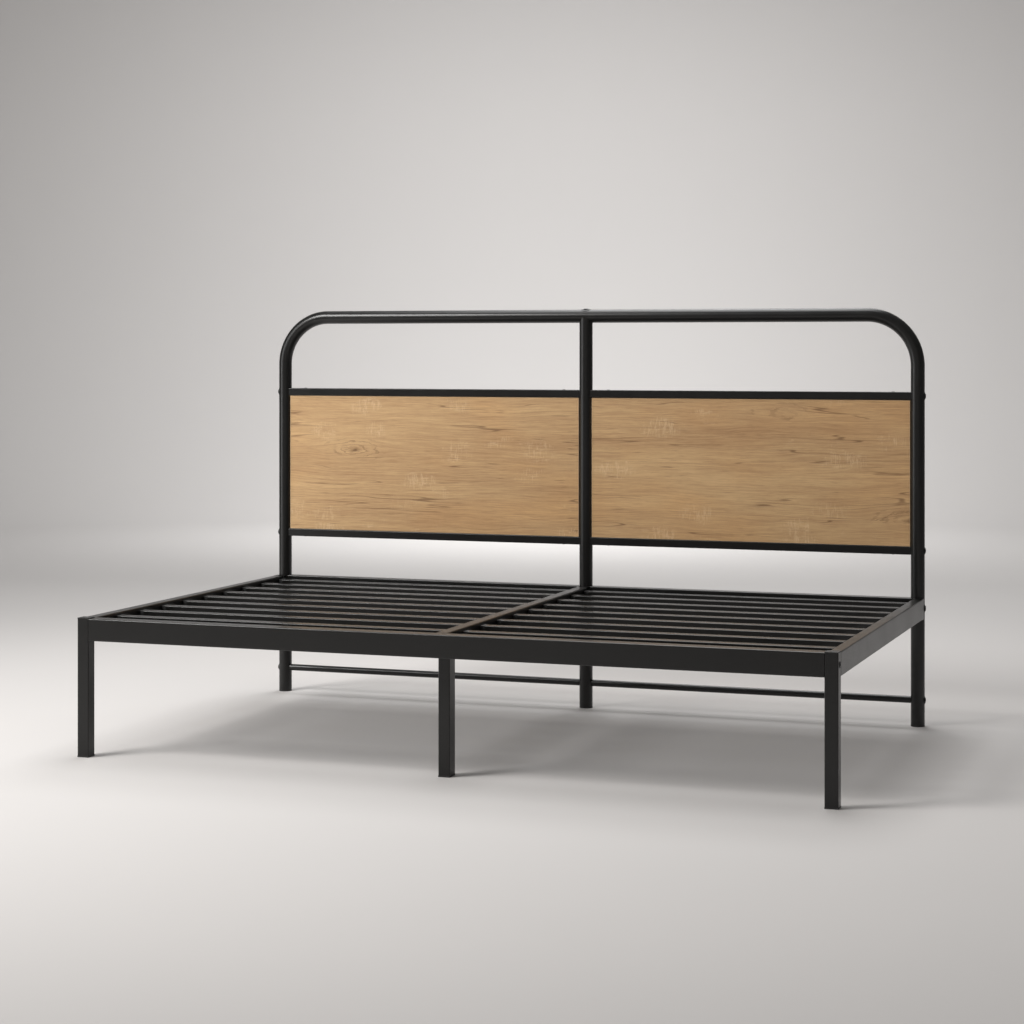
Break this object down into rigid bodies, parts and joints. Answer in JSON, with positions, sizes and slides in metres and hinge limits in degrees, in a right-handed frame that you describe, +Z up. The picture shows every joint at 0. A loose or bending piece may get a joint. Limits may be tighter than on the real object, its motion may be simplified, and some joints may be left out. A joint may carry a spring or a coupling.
{
  "type": "bed frame",
  "caption": "Metal platform bed frame with slats and a round-cornered tube headboard that holds wood panels.",
  "frame": {"origin": "on the floor, in the middle of the whole frame's width and depth", "axes": "+X along the headboard, to the right for someone who looks at the headboard from the foot; +Y from the foot rail to the headboard; +Z up"},
  "size_m": [1.9456, 1.2028, 1.1458],
  "materials": {
    "frame_metal": "satin black powder coat",
    "wood_panel": "matt oak laminate",
    "black_plastic": "fine-grained moulded plastic",
    "black_fastener": "black oxide, slightly glossy",
    "steel_insert": "bare zinc-plated steel"
  },
  "bodies": {
    "root": {"bar_plugs": "steel_insert", "bracket_bolts": "black_fastener", "bracket_nuts": "black_fastener", "centre_leg_angle": "frame_metal", "centre_post": "frame_metal", "centre_post_plug": "steel_insert", "centre_rail": "frame_metal", "centre_rail_angles": "frame_metal", "centre_studs": "black_fastener", "corner_bracket_left": "frame_metal", "corner_bracket_right": "frame_metal", "curved_washers": "black_fastener", "foot_rail": "frame_metal", "frame_bolts": "black_fastener", "front_leg_centre": "frame_metal", "front_leg_left": "frame_metal", "front_leg_right": "frame_metal", "head_rail_left": "frame_metal", "head_rail_right": "frame_metal", "left_head_tube": "frame_metal", "leg_foot_caps": "black_plastic", "leg_top_caps": "black_plastic", "lower_bar_left": "frame_metal", "lower_bar_right": "frame_metal", "panel_left": "wood_panel", "panel_right": "wood_panel", "panel_screws": "black_fastener", "post_foot_caps": "black_plastic", "rail_bracket_centre": "frame_metal", "rail_bracket_left": "frame_metal", "rail_bracket_right": "frame_metal", "rail_plugs": "steel_insert", "right_head_tube": "frame_metal", "saddle_nuts": "black_fastener", "side_rail_left": "frame_metal", "side_rail_right": "frame_metal", "slat_end_caps": "black_plastic", "slat_left_1": "frame_metal", "slat_left_2": "frame_metal", "slat_left_3": "frame_metal", "slat_left_4": "frame_metal", "slat_left_5": "frame_metal", "slat_left_6": "frame_metal", "slat_left_7": "frame_metal", "slat_left_8": "frame_metal", "slat_left_9": "frame_metal", "slat_right_1": "frame_metal", "slat_right_2": "frame_metal", "slat_right_3": "frame_metal", "slat_right_4": "frame_metal", "slat_right_5": "frame_metal", "slat_right_6": "frame_metal", "slat_right_7": "frame_metal", "slat_right_8": "frame_metal", "slat_right_9": "frame_metal", "stretcher_left": "frame_metal", "stretcher_right": "frame_metal", "upper_bar_left": "frame_metal", "upper_bar_right": "frame_metal"}
  },
  "joints": []
}
